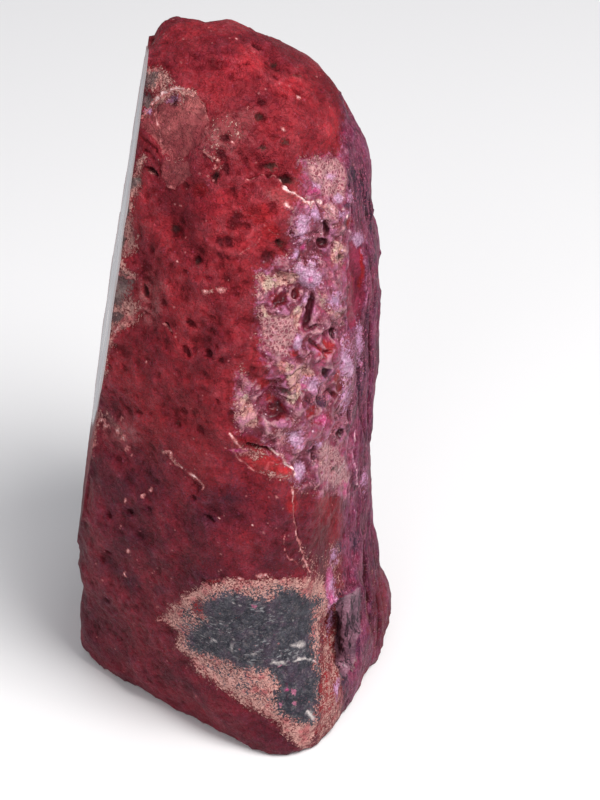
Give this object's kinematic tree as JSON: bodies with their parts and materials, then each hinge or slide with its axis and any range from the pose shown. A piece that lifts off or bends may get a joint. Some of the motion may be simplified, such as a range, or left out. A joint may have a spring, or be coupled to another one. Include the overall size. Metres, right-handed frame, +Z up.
{
  "type": "agate",
  "caption": "Upright dyed agate nodule with a domed rough rind, one leaning sawn and polished face and a flat sawn base to stand on.",
  "frame": {"origin": "middle of the stone's box, on the sawn base that it stands on", "axes": "+Z up, the polished face looks towards -Y, turned about 5 degrees towards +X, and leans back about 9 degrees; +X towards the corner with the undyed patch"},
  "size_m": [0.0642, 0.055, 0.1186],
  "materials": {
    "agate": "dyed crimson rind with beige and undyed grey patches, matte to waxy; one face polished"
  },
  "bodies": {
    "root": {"agate": "agate"}
  },
  "joints": []
}
